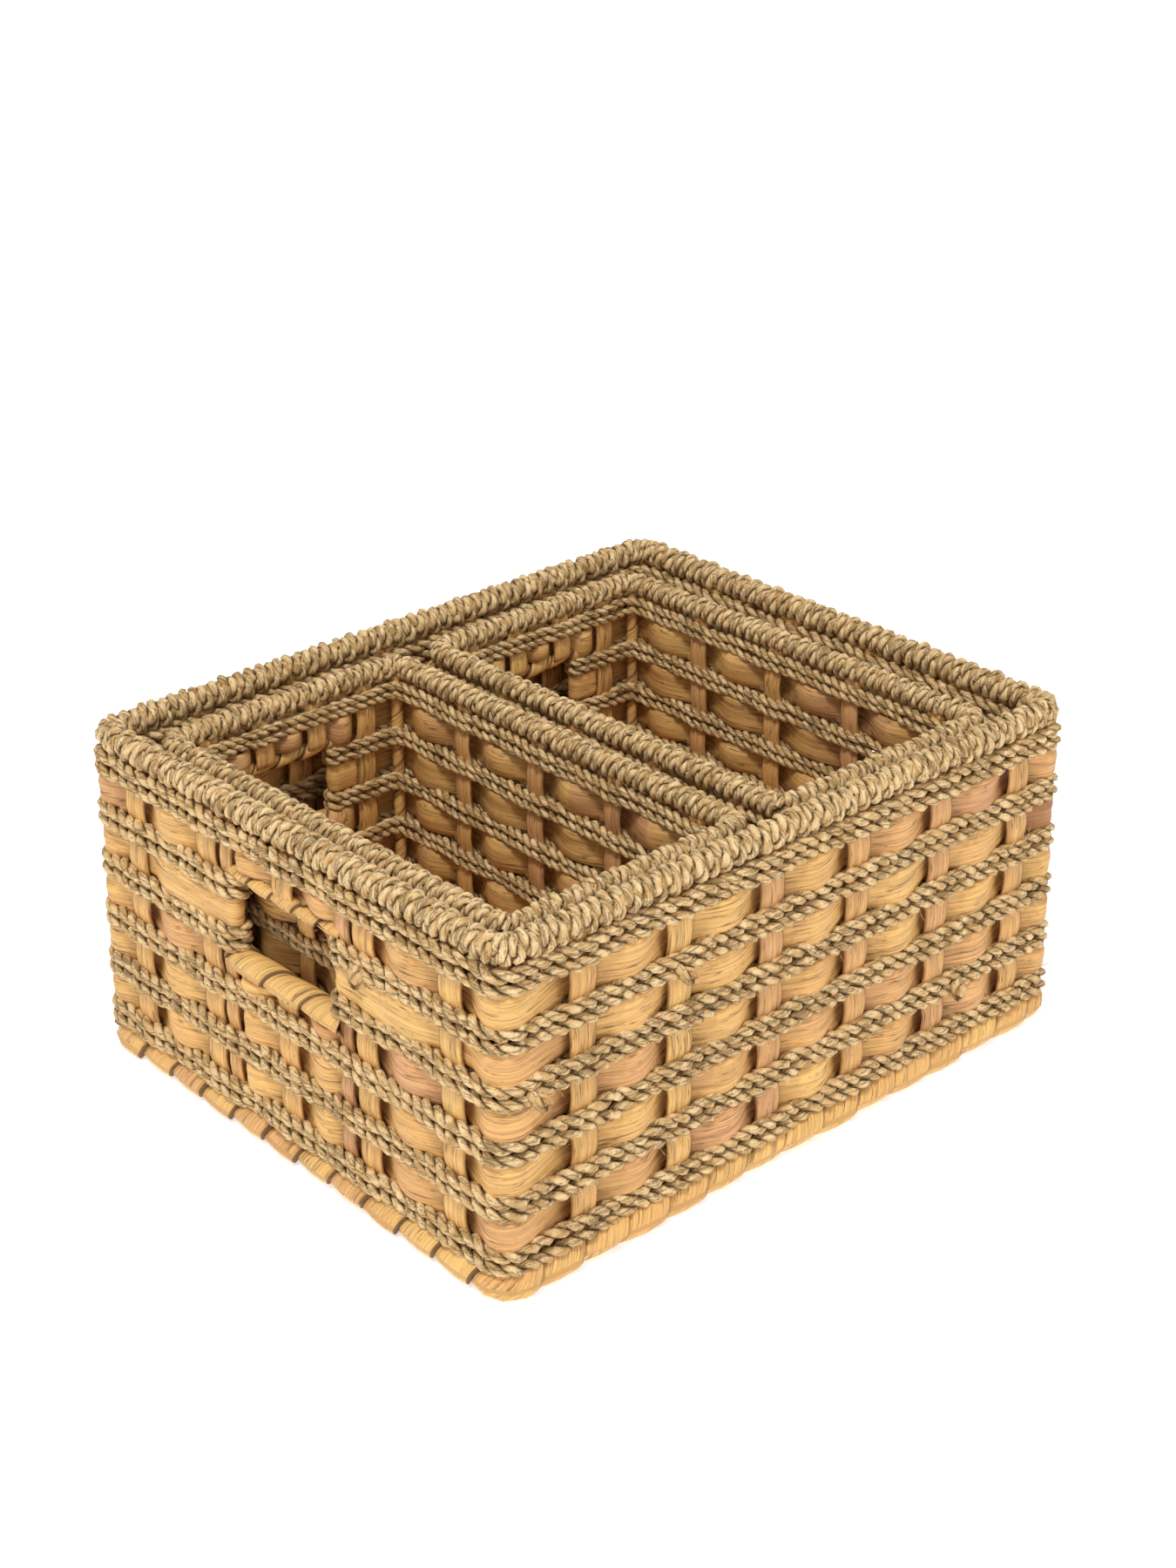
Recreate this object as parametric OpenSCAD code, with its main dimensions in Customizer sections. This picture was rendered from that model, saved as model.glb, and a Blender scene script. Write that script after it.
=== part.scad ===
// A nest of three hand-woven storage baskets: one wide open basket that holds two equal
// narrow ones side by side. Each is woven from flat water-hyacinth bands and pairs of
// twisted seagrass cords on flat stakes, round a welded steel rod frame.
// Millimetres, +Z up. Origin: middle of the wide basket's footprint, on the floor.
// Each basket is drawn with its long side along X; the narrow ones are turned in the nest.

/* [Wide basket] */
// Length over the rim
wide_len = 434; // [380:1:540]
// Width over the rim
wide_wid = 360; // [310:1:440]
// Height from the floor to the top of the rim
wide_hgt = 207; // [180:1:260]
// Thickness of the wound rim
wide_rim_d = 20; // [16:1:24]
// Thickness of the wound foot
wide_foot_d = 18; // [14:1:22]
// Radius of the upright corners, along the middle of the wall: more than half the rim
wide_corner_r = 11; // [10.5:0.5:24]
// Width of a stake
wide_stake_w = 18; // [12:1:19]
// Width of the hand hole
wide_hole_w = 83; // [69:1:86]
// Height of one zone with its two cord rows
wide_zone_h = 11; // [8:0.1:13.2]

/* [Narrow baskets] */
// Length over the rim
narrow_len = 305; // [270:1:312]
// Width over the rim
narrow_wid = 180; // [160:1:184]
// Height from its own foot to the top of the rim
narrow_hgt = 190; // [158:1:228]
// Thickness of the wound rim
narrow_rim_d = 17; // [14:1:20]
// Thickness of the wound foot
narrow_foot_d = 15; // [12:1:18]
// Radius of the upright corners, along the middle of the wall: more than half the rim
narrow_corner_r = 9.5; // [9:0.5:18]
// Width of a stake
narrow_stake_w = 14; // [9:1:15]
// Width of the hand hole
narrow_hole_w = 54; // [46:1:56]
// Height of one zone with its two cord rows
narrow_zone_h = 10; // [8:0.5:12]

/* [Nest] */
// Clear space between the two narrow rims
middle_gap = 12; // [2:1:30]
// Clear space between the left narrow rim and the wide rim
left_gap = 3.5; // [2:0.5:20]
// Clear space between the narrow rims and the front of the wide rim
front_gap = 3; // [2:0.5:20]

/* [Weave] */
// Number of flat bands, one above the other
bands = 5; // [5:1:5]
// Thickness of a flat band
band_t = 2.2; // [1.5:0.1:2.6]
// Thickness of a stake
stake_t = 1.6; // [1:0.1:2]
// How far a band swings to each side of the wall's middle
band_swing = 3; // [2.5:0.1:3.6]
// How far a band swings out where it passes a corner or wraps a hand-hole post
wrap_swing = 5.2; // [5:0.1:6]
// Thickness of the twined cord rows, both strands
cord_t = 12.8; // [11:0.2:15]

/* [Hand holes] */
// Thickness of the wound bar under a hand hole
low_bar_d = 13; // [9:0.5:14]
// Thickness of the wound bar over a hand hole
high_bar_d = 8; // [5:0.5:10]
// Width of the post at each side of a hand hole
post_w = 11; // [8:0.5:12]
// Thickness of the band wrapped round a post
sleeve_t = 1.9; // [1:0.1:2]

/* [Steel frame and base] */
// Rod of the top and bottom rings
ring_rod_d = 5; // [3:0.5:6]
// Rod of the uprights and cross bars
cross_rod_d = 4; // [3:0.5:4.5]
// Thickness of the hyacinth wound on each upright rod
post_wrap_t = 1.5; // [1:0.1:1.8]
// Thickness of the woven base
base_t = 6; // [5.4:0.2:8]
// Depth of the flat worn on the underside of the foot
foot_flat = 0.6; // [0.2:0.1:1]

/* [Fits] */
// Clear space between pieces of one basket
gap = 0.3; // [0.2:0.1:0.5]
// Clear space round a steel rod inside its winding
rod_fit = 0.2; // [0.1:0.1:0.4]
// Clear space under each narrow basket where it stands on the wide base
stand_gap = 0.4; // [0.3:0.1:1]

/* [Hidden] */
$fn = 48;
PIECES = ["frame", "rim_wrap", "foot_wrap", "corner_wraps", "stakes", "base", "grips",
          "band_1", "band_2", "band_3", "band_4", "band_5",
          "cords_1", "cords_2", "cords_3", "cords_4", "cords_5", "cords_6"];

// Colours of the materials
steel = [0.30, 0.29, 0.28];
seagrass = [0.78, 0.70, 0.50];
hyacinth = [0.83, 0.65, 0.41];
hyacinth_dark = [0.74, 0.53, 0.31];

// The places of a basket's values in its list
LEN = 0;
WID = 1;
HGT = 2;
RIM_D = 3;
FOOT_D = 4;
CORNER_R = 5;
STAKE_W = 6;
HOLE_W = 7;
ZONE_H = 8;
LONG_STAKES = 9;
SHORT_STAKES = 10;
CROSS_BARS = 11;

// The stakes of one side: the share of the side before the first stake and after the
// last one, how many there are, and whether the first one lies outside the bands (0) or
// inside them (1). Stakes lie outside and inside by turns.
WIDE_LONG = [0.120, 0.077, 11, 0];
WIDE_SHORT = [0.1, 0.1, 9, 0];
NARROW_LONG = [1 / 9, 1 / 9, 8, 1];
NARROW_SHORT = [1 / 6, 1 / 6, 7, 1];

WIDE = [wide_len, wide_wid, wide_hgt, wide_rim_d, wide_foot_d, wide_corner_r,
        wide_stake_w, wide_hole_w, wide_zone_h, WIDE_LONG, WIDE_SHORT, 3];
NARROW = [narrow_len, narrow_wid, narrow_hgt, narrow_rim_d, narrow_foot_d, narrow_corner_r,
          narrow_stake_w, narrow_hole_w, narrow_zone_h, NARROW_LONG, NARROW_SHORT, 2];

// Stakes outside the bands stand this far out from the wall's middle, inside ones this far
// in, so that each touches the band that swings away from it
stake_off = band_swing - band_t / 2 + stake_t / 2;
// How far the sleeve on a post stands back from the hand hole's edge in the cords
sleeve_back = 1.5;
// Clear space between a wound bar and the posts at its ends
bar_clear = 1;
// Rounding that the corners of the base plate have beyond the wall's own
base_round = 2;
// Radius of a wound upright
upright_r = cross_rod_d / 2 + post_wrap_t;
// Steps drawn between one stake and the next along a band
wave_steps = 4;

// --- sizes of a basket ---------------------------------------------------------------

// Length of a side along the middle of the wall; sides 0 and 2 are the long ones
function side_len(b, side) = (side % 2 == 0 ? b[LEN] : b[WID]) - b[RIM_D];
// Distance from the basket's middle to the middle of that side's wall
function side_out(b, side) = side_len(b, side + 1) / 2;
// Half of the straight stretch of a side
function straight(b, side) = side_len(b, side) / 2 - b[CORNER_R];
// Half of a side measured round to the middle of each corner
function half_way(b, side) = straight(b, side) + b[CORNER_R] * PI / 4;

function rim_z(b) = b[HGT] - b[RIM_D] / 2;
function foot_z(b) = b[FOOT_D] / 2 - foot_flat;
function wall_low(b) = foot_z(b) + b[FOOT_D] / 2;
function wall_high(b) = rim_z(b) - b[RIM_D] / 2;
function band_h(b) = (wall_high(b) - wall_low(b) - (bands + 1) * b[ZONE_H]) / bands;
// Lower edge of the k-th band and of the k-th cord zone, counted from the rim
function band_low(b, k) = wall_high(b) - k * (b[ZONE_H] + band_h(b));
function zone_low(b, k) = wall_high(b) - k * b[ZONE_H] - (k - 1) * band_h(b);
function base_top(b) = foot_z(b) + base_t / 2;

// --- hand holes, in the short sides ----------------------------------------------------

function has_hole(side) = side % 2 == 1;
function hole_low(b) = zone_low(b, 3);
function hole_high(b) = band_low(b, 1);
function hole_half(b) = b[HOLE_W] / 2;
// Middle and outer edge of the post and of the band wrapped round it
function post_at(b) = hole_half(b) + sleeve_back + sleeve_t + gap + post_w / 2;
function sleeve_end(b) = post_at(b) + post_w / 2 + gap + sleeve_t;
// Half length of the wound bars, which end just inside the posts
function bar_half(b) = post_at(b) - post_w / 2 - bar_clear;

// --- stakes --------------------------------------------------------------------------

function layout(b, side) = side % 2 == 0 ? b[LONG_STAKES] : b[SHORT_STAKES];
function stake_at(b, side, i) =
    let (l = layout(b, side), len = side_len(b, side))
    len * (l[0] + (1 - l[0] - l[1]) * i / (l[2] - 1) - 0.5);
function is_outside(b, side, i) = (i + layout(b, side)[3]) % 2 == 0;
// Places of stakes: [distance along the side, 1 outside or -1 inside]
function all_stakes(b, side) =
    [for (i = [0 : layout(b, side)[2] - 1]) [stake_at(b, side, i), is_outside(b, side, i) ? 1 : -1]];
// Beside a hand hole the posts take the place of the stakes that would touch them
function full_stakes(b, side) =
    [for (s = all_stakes(b, side))
        if (!has_hole(side) || abs(s[0]) - b[STAKE_W] / 2 >= sleeve_end(b) - gap) s];
// Stakes that stand between the posts are cut for the hand hole
function cut_stakes(b, side) =
    [for (s = all_stakes(b, side))
        if (has_hole(side) && abs(s[0]) + b[STAKE_W] / 2 <= post_at(b) - post_w / 2 - gap) s];
function posts(b, side) = has_hole(side) ? [[-post_at(b), 1], [post_at(b), 1]] : [];

// --- the path of a wall ----------------------------------------------------------------

// Point at distance s along a side and d out from the wall's middle, round the corners too
function wall_point(b, side, s, d) =
    let (a = straight(b, side), r = b[CORNER_R], turn = (abs(s) - a) / r * 180 / PI)
    abs(s) <= a ? [s, -d]
                : [sign(s) * (a + (r + d) * sin(turn)), r - (r + d) * cos(turn)];
// Draws in the frame of one side: X along it, the wall's middle on Y = 0, outwards -Y
module at_side(b, side) {
    rotate([0, 0, 90 * side]) translate([0, -side_out(b, side), 0]) children();
}
// A strip of wall of even thickness between offsets d0 and d1 and distances s0 and s1
module wall_strip(b, side, s0, s1, d0, d1, z, h) {
    a = straight(b, side);
    turns = 4;
    low = [for (i = [0 : turns]) s0 + (min(s1, -a) - s0) * i / turns];
    high = [for (i = [0 : turns]) max(s0, a) + (s1 - max(s0, a)) * i / turns];
    path = concat(s0 < -a ? low : [s0], s1 > a ? high : [s1]);
    last = len(path) - 1;
    translate([0, 0, z]) linear_extrude(h) polygon(concat(
        [for (s = path) wall_point(b, side, s, d1)],
        [for (i = [last : -1 : 0]) wall_point(b, side, path[i], d0)]));
}
// Half the saw cut that parts the wall at the middle of a corner
function end_way(b, side) = half_way(b, side) - gap / 2;

// --- bands -----------------------------------------------------------------------------

// Where a band passes each stake: [distance, offset from the wall's middle]
function swing(s) = [s[0], -s[1] * band_swing];
function corner_knot(b, side, end) = [end * end_way(b, side), wrap_swing];
// Stakes and posts of a side with a hand hole, in order
function hole_side_stakes(b, side) =
    let (cut = cut_stakes(b, side), full = full_stakes(b, side), p = posts(b, side))
    concat([for (s = full) if (s[0] < 0) s], [for (s = p) if (s[0] < 0) s], cut,
           [for (s = p) if (s[0] > 0) s], [for (s = full) if (s[0] > 0) s]);
function whole_knots(b, side) =
    concat([corner_knot(b, side, -1)],
           [for (s = has_hole(side) ? hole_side_stakes(b, side) : all_stakes(b, side)) swing(s)],
           [corner_knot(b, side, 1)]);
// The band that ends at a hand hole passes outside the last stake and wraps the post
function left_knots(b, side) =
    let (full = [for (s = full_stakes(b, side)) if (s[0] < 0) s], n = len(full))
    concat([corner_knot(b, side, -1)],
           [for (i = [0 : 1 : n - 2]) swing(full[i])],
           [[full[n - 1][0], wrap_swing], [-sleeve_end(b) - gap, wrap_swing]]);
// A smooth wave through the knots
function wave(knots) =
    concat([for (i = [0 : len(knots) - 2], j = [0 : wave_steps - 1])
        let (t = j / wave_steps, p = knots[i], q = knots[i + 1])
        [p[0] + (q[0] - p[0]) * t, p[1] + (q[1] - p[1]) * (1 - cos(180 * t)) / 2]],
        [knots[len(knots) - 1]]);
module woven_strip(b, side, knots, z, h) {
    points = wave(knots);
    last = len(points) - 1;
    translate([0, 0, z]) linear_extrude(h) polygon(concat(
        [for (p = points) wall_point(b, side, p[0], p[1] + band_t / 2)],
        [for (i = [last : -1 : 0]) wall_point(b, side, points[i][0], points[i][1] - band_t / 2)]));
}

// Room taken out of a band for the wound bar over or under a hand hole
module bar_room(b, z, h) {
    half = bar_half(b) + gap;
    translate([-half, -cord_t, z]) cube([2 * half, 2 * cord_t, h]);
}

module band(b, k) {
    z = band_low(b, k) + gap / 2;
    h = band_h(b) - gap;
    color(k % 2 == 0 ? hyacinth_dark : hyacinth)
    for (side = [0 : 3]) at_side(b, side) {
        if (!has_hole(side) || k > 3) {
            woven_strip(b, side, whole_knots(b, side), z, h);
        } else if (k == 2) {
            woven_strip(b, side, left_knots(b, side), z, h);
            mirror([1, 0, 0]) woven_strip(b, side, left_knots(b, side), z, h);
        } else {
            difference() {
                woven_strip(b, side, whole_knots(b, side), z, h);
                if (k == 1) bar_room(b, z - 1, high_bar_d + gap / 2 + 1);
                if (k == 3) bar_room(b, z + h - low_bar_d - gap / 2, low_bar_d + 1);
            }
        }
    }
}

// --- cord rows ---------------------------------------------------------------------------

// Room for the stakes, posts and wound uprights that the cords are twined round
module stake_slots(b, side, z, h) {
    for (s = concat(full_stakes(b, side), cut_stakes(b, side)))
        stake_box(s, b[STAKE_W], gap, z - 1, h + 2);
    for (p = posts(b, side)) stake_box(p, post_w, gap, z - 1, h + 2);
    for (end = [-1, 1])
        translate(concat(wall_point(b, side, end * half_way(b, side), 0), [z - 1]))
            cylinder(r = upright_r + gap, h = h + 2);
}
module stake_box(s, w, grow, z, h) {
    translate([s[0] - w / 2 - grow, -s[1] * stake_off - stake_t / 2 - grow, z])
        cube([w + 2 * grow, stake_t + 2 * grow, h]);
}

module cords(b, k) {
    z = zone_low(b, k) + gap / 2;
    h = b[ZONE_H] - gap;
    t = cord_t / 2;
    color(seagrass)
    for (side = [0 : 3]) at_side(b, side) difference() {
        end = end_way(b, side);
        hole_end = hole_half(b) + gap;
        if (has_hole(side) && (k == 2 || k == 3)) {
            wall_strip(b, side, -end, -hole_end, -t, t, z, h);
            wall_strip(b, side, hole_end, end, -t, t, z, h);
        } else {
            wall_strip(b, side, -end, end, -t, t, z, h);
        }
        stake_slots(b, side, z, h);
    }
}

// --- stakes, posts and hand-hole grips ------------------------------------------------------

module stakes(b) {
    z0 = wall_low(b) + gap;
    z1 = wall_high(b) - gap;
    under = hole_low(b) - low_bar_d - gap;
    over = hole_high(b) + high_bar_d + gap;
    color(hyacinth)
    for (side = [0 : 3]) at_side(b, side) {
        for (s = full_stakes(b, side)) stake_box(s, b[STAKE_W], 0, z0, z1 - z0);
        for (s = posts(b, side)) stake_box(s, post_w, 0, z0, z1 - z0);
        for (s = cut_stakes(b, side)) {
            stake_box(s, b[STAKE_W], 0, z0, under - z0);
            stake_box(s, b[STAKE_W], 0, over, z1 - over);
        }
    }
}

module grips(b) {
    z = band_low(b, 2) + gap / 2;
    h = band_h(b) - gap;
    color(hyacinth)
    for (side = [1, 3]) at_side(b, side) {
        for (bar = [[low_bar_d, hole_low(b) - low_bar_d / 2], [high_bar_d, hole_high(b) + high_bar_d / 2]])
            translate([-bar_half(b), 0, bar[1]]) rotate([0, 90, 0])
                cylinder(d = bar[0], h = 2 * bar_half(b));
        for (p = posts(b, side)) difference() {
            stake_box(p, post_w, gap + sleeve_t, z, h);
            stake_box(p, post_w, gap, z - 1, h + 2);
        }
    }
}

// --- round rods and windings ---------------------------------------------------------------

// One corner's quarter and one straight length of a round bar along the wall's middle
module quarter_bar(b, z, r) {
    for (side = [0 : 3]) at_side(b, side)
        translate([straight(b, side), b[CORNER_R], z]) rotate([0, 0, -90])
            rotate_extrude(angle = 90) translate([b[CORNER_R], 0]) circle(r = r);
}
module side_bars(b, z, r, part) {
    for (side = [0 : 3]) at_side(b, side)
        translate([-straight(b, side) + part, 0, z]) rotate([0, 90, 0])
            cylinder(r = r, h = 2 * (straight(b, side) - part));
}

// The welded steel frame, or with grow the room it needs
module rod_frame(b, grow) {
    low = foot_z(b);
    high = rim_z(b);
    for (z = [low, high]) {
        quarter_bar(b, z, ring_rod_d / 2 + grow);
        side_bars(b, z, ring_rod_d / 2 + grow, 0);
    }
    upright_rods(b, low, high, grow);
    cross_bars(b, grow);
}
module upright_rods(b, low, high, grow) {
    for (side = [0 : 3]) at_side(b, side)
        translate(concat(wall_point(b, side, half_way(b, side), 0), [low]))
            cylinder(r = cross_rod_d / 2 + grow, h = high - low);
}
module cross_bars(b, grow) {
    half = side_out(b, 0);
    for (i = [1 : b[CROSS_BARS]])
        translate([side_len(b, 0) * (i / (b[CROSS_BARS] + 1) - 0.5), -half, foot_z(b)])
            rotate([-90, 0, 0]) cylinder(r = cross_rod_d / 2 + grow, h = 2 * half);
}
module frame(b) {
    color(steel) rod_frame(b, 0);
}

// A winding lies in lengths, one along each side and one round each corner
module winding(b, z, d) {
    side_bars(b, z, d / 2, gap);
    quarter_bar(b, z, d / 2);
}
module rim_wrap(b) {
    color(seagrass) difference() {
        winding(b, rim_z(b), b[RIM_D]);
        rod_frame(b, rod_fit);
    }
}
module foot_wrap(b) {
    color(hyacinth) difference() {
        winding(b, foot_z(b), b[FOOT_D]);
        rod_frame(b, rod_fit);
        translate([-b[LEN], -b[WID], -foot_flat - 1]) cube([2 * b[LEN], 2 * b[WID], foot_flat + 1]);
    }
}
module corner_wraps(b) {
    z0 = wall_low(b) + gap;
    z1 = wall_high(b) - gap;
    color(hyacinth_dark)
    for (side = [0 : 3]) at_side(b, side)
        translate(concat(wall_point(b, side, half_way(b, side), 0), [z0])) difference() {
            cylinder(r = upright_r, h = z1 - z0);
            translate([0, 0, -1]) cylinder(r = cross_rod_d / 2 + rod_fit, h = z1 - z0 + 2);
        }
}

// --- base ------------------------------------------------------------------------------------

module rounded_plate(x, y, r, h) {
    linear_extrude(h) {
        square([2 * x, 2 * (y - r)], center = true);
        square([2 * (x - r), 2 * y], center = true);
        for (u = [-1, 1], v = [-1, 1]) translate([u * (x - r), v * (y - r)]) circle(r = r);
    }
}
module base(b) {
    inset = b[FOOT_D] / 2 + gap;
    x = side_out(b, 1) - inset;
    y = side_out(b, 0) - inset;
    color(hyacinth_dark) difference() {
        translate([0, 0, foot_z(b) - base_t / 2]) rounded_plate(x, y, b[CORNER_R] - inset + base_round, base_t);
        cross_bars(b, rod_fit);
    }
}

// --- placing -----------------------------------------------------------------------------------

// The narrow baskets stand on the wide base, their long sides across the wide basket
narrow_z = base_top(WIDE) + stand_gap;
inner_left = -wide_len / 2 + wide_rim_d;
inner_front = -wide_wid / 2 + wide_rim_d;
left_x = inner_left + left_gap + narrow_wid / 2;
right_x = left_x + narrow_wid + middle_gap;
narrow_y = inner_front + front_gap + narrow_len / 2;

module place(basket) {
    if (basket == "wide") children();
    else translate([basket == "left" ? left_x : right_x, narrow_y, narrow_z]) rotate([0, 0, 90]) children();
}
module piece(b, name) {
    if (name == "frame") frame(b);
    if (name == "rim_wrap") rim_wrap(b);
    if (name == "foot_wrap") foot_wrap(b);
    if (name == "corner_wraps") corner_wraps(b);
    if (name == "stakes") stakes(b);
    if (name == "base") base(b);
    if (name == "grips") grips(b);
    for (k = [1 : bands]) if (name == str("band_", k)) band(b, k);
    for (k = [1 : bands + 1]) if (name == str("cords_", k)) cords(b, k);
}

for (basket = ["wide", "left", "right"], name = PIECES)
    place(basket) piece(basket == "wide" ? WIDE : NARROW, name);
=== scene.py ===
"""A nest of three hand-woven storage baskets: flat hyacinth bands and twisted seagrass cord
on steel rods. Every piece is drawn in the frame of its own basket, long side along X, and then
set in the nest. Metres throughout."""
import math
from functools import partial

import bpy
import numpy as np
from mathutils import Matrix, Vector


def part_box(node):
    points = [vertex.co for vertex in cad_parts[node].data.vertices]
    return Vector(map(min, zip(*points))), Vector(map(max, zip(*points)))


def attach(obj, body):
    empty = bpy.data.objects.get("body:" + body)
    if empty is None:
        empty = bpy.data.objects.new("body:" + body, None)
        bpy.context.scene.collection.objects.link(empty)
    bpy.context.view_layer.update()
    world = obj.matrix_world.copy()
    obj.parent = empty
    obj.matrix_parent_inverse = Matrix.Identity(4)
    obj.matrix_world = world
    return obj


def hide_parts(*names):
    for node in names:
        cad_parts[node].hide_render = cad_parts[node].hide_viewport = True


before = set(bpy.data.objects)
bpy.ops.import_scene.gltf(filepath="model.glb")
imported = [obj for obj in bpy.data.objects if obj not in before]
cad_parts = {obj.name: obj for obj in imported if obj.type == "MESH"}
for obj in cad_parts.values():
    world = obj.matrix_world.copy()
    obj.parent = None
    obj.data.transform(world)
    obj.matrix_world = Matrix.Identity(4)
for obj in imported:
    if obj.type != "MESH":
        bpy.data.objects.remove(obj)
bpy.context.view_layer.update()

MM = 0.001
TAU = 2 * math.pi
UP = np.array([0.0, 0.0, 1.0])


# --- node trees as expressions

def arithmetic(operation, swapped=False):
    def act(wire, other):
        return wire.join(operation, *((other, wire) if swapped else (wire, other)))
    return act


class Wire:
    """A socket of a node tree. Arithmetic on wires adds the nodes that work it out."""

    def __init__(self, net, socket):
        self.net, self.socket = net, socket

    @property
    def is_vector(self):
        return self.socket.type in {"VECTOR", "RGBA"}

    def join(self, operation, first, second):
        vectors = [w for w in (first, second) if isinstance(w, Wire) and w.is_vector]
        if vectors and operation == "MULTIPLY":
            other = second if vectors[0] is first else first
            if not (isinstance(other, Wire) and other.is_vector):
                return self.net.add("ShaderNodeVectorMath", {"operation": "SCALE"},
                                    {0: vectors[0], "Scale": other})
        kind = "ShaderNodeVectorMath" if vectors else "ShaderNodeMath"
        return self.net.add(kind, {"operation": operation}, {0: first, 1: second})

    __add__, __radd__ = arithmetic("ADD"), arithmetic("ADD", swapped=True)
    __sub__, __rsub__ = arithmetic("SUBTRACT"), arithmetic("SUBTRACT", swapped=True)
    __mul__, __truediv__ = arithmetic("MULTIPLY"), arithmetic("DIVIDE")


class Net:
    """A node tree that is built node by node."""

    def __init__(self, tree):
        self.tree = tree

    def add(self, kind, settings=None, inputs=None, output=0):
        """A new node: its settings first, then its inputs by name or place. Returns one output."""
        node = self.tree.nodes.new(kind)
        for name, value in (settings or {}).items():
            if name == "stops":
                self._set_stops(node.color_ramp, value)
            else:
                setattr(node, name, value)
        self.feed(node, inputs or {})
        return Wire(self, node.outputs[output])

    def feed(self, node, inputs):
        for key, value in inputs.items():
            socket = node.inputs[key]
            if isinstance(value, Wire):
                self.tree.links.new(value.socket, socket)
            else:
                socket.default_value = value

    def _set_stops(self, ramp, stops):
        while len(ramp.elements) < len(stops):
            ramp.elements.new(0.5)
        for element, (place, colour) in zip(ramp.elements, stops):
            element.position = place
            element.color = colour

    def math(self, operation, *values):
        return self.add("ShaderNodeMath", {"operation": operation}, dict(enumerate(values)))

    def blend(self, factor, first, second, mode="MIX"):
        """Colour mix of first and second."""
        settings = {"data_type": "RGBA", "blend_type": mode}
        return self.add("ShaderNodeMix", settings, {0: factor, 6: first, 7: second}, output=2)

    def grade(self, value, low, high, low_to=0.0, high_to=1.0):
        """Maps low..high to low_to..high_to smoothly, and holds the ends."""
        settings = {"interpolation_type": "SMOOTHSTEP"}
        return self.add("ShaderNodeMapRange", settings,
                        {0: value, 1: low, 2: high, 3: low_to, 4: high_to})


# --- materials

STRAW = (0.660, 0.415, 0.172, 1)
GREEN_STRAW = (0.450, 0.310, 0.118, 1)
PALE_STRAW = (0.870, 0.640, 0.335, 1)
BROWN_STRAW = (0.440, 0.210, 0.065, 1)
GRASS_SHADE = (0.100, 0.048, 0.013, 1)

STALK_YELLOW = (0.815, 0.490, 0.158, 1)
STALK_TAN = (0.765, 0.424, 0.140, 1)
STALK_PINK = (0.670, 0.346, 0.150, 1)
STALK_BROWN = (0.390, 0.165, 0.055, 1)
# Dark stalk colour, for the split lines and for painted shade.
STALK_SPLIT_AND_SHADE = (0.110, 0.040, 0.011, 1)

VARNISH = (0.045, 0.040, 0.038, 1)
RUST = (0.150, 0.060, 0.025, 1)


def add_to_scene(name, data):
    thing = bpy.data.objects.new(name, data)
    bpy.context.scene.collection.objects.link(thing)
    return thing


def new_material(name, values):
    """A material whose shader inputs take these values, or what these functions build."""
    material = bpy.data.materials.new(name)
    material.use_nodes = True
    net = Net(material.node_tree)
    shader = material.node_tree.nodes["Principled BSDF"]
    net.feed(shader, {label: value(net) if callable(value) else value
                      for label, value in values.items()})
    return material


def bumps(height, strength, depth):
    """A wire maker for a surface that rises by depth where height says."""
    return lambda net: net.add("ShaderNodeBump", None,
                               {"Strength": strength, "Distance": depth, "Height": height(net)})


def own(net, name, output=2):
    """A value stored on the piece's own points."""
    return net.add("ShaderNodeAttribute", {"attribute_name": name}, output=output)


def grain_of(net, along, across):
    """The piece's own fibre coordinates, along and across the fibre, scaled by two rates."""
    return net.add("ShaderNodeVectorMath", {"operation": "MULTIPLY"},
                   {0: own(net, "grain", output=1), 1: (along, across, across)})


def painted_crevice_shade(net, low, high):
    """1 down in the folds of a piece, 0 on its open surface: how much shade is painted into its
    colour there.
    """
    return net.grade(own(net, "rise"), low, high, 1.0, 0.0)


def noise(net, vector, scale=1.0, detail=2.0, roughness=0.5):
    return net.add("ShaderNodeTexNoise", None,
                   {"Vector": vector, "Scale": scale, "Detail": detail, "Roughness": roughness})


def blade_fold_shade_and_relief(net):
    """Where the grass blades of a ply fold over each other, 1 in the fold: shade painted into the
    colour there, and a dip in the bump.
    """
    folds = noise(net, grain_of(net, 75, 850), detail=2.5)
    return net.grade(folds, 0.38, 0.47, 1.0, 0.0)


def seagrass_colour(net):
    patches = noise(net, grain_of(net, 55, 320), detail=2.0)
    hue = own(net, "tone") + (patches - 0.5)
    stops = [(0.0, GREEN_STRAW), (0.35, STRAW), (0.7, PALE_STRAW), (1.0, STRAW)]
    colour = net.add("ShaderNodeValToRGB", {"stops": stops}, {0: hue})
    rust = net.grade(noise(net, grain_of(net, 34, 160), detail=1.0), 0.62, 0.74)
    colour = net.blend(rust * 0.6, colour, BROWN_STRAW)
    veins = noise(net, grain_of(net, 60, 2600), detail=1.5)
    colour = colour * net.grade(veins, 0.35, 0.65, 0.86, 1.08)
    # Painted shade in the folds between the grass blades.
    colour = net.blend(blade_fold_shade_and_relief(net) * 0.55, colour, GRASS_SHADE)
    # Painted shade: the crevices between the plies, where the rise is low, darken to the shade
    # colour.
    return net.blend(painted_crevice_shade(net, 0.44, 0.86) * 0.94, colour, GRASS_SHADE)


def seagrass_height(net):
    ridges = noise(net, grain_of(net, 70, 1900), detail=2.0)
    return ridges * 0.5 + (1.0 - blade_fold_shade_and_relief(net))


def seagrass_roughness(net):
    return net.grade(noise(net, grain_of(net, 60, 1200)), 0.3, 0.7, 0.5, 0.72)


def split_lines(net, along, across, width):
    """Thin broken lines along the stalk, 1 on the line."""
    field = noise(net, grain_of(net, along, across), detail=1.5)
    line = net.grade(net.math("ABSOLUTE", field - 0.5), 0.0, width, 1.0, 0.0)
    breaks = net.grade(noise(net, grain_of(net, along * 2.2, across * 0.35)), 0.44, 0.58)
    return line * breaks


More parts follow.
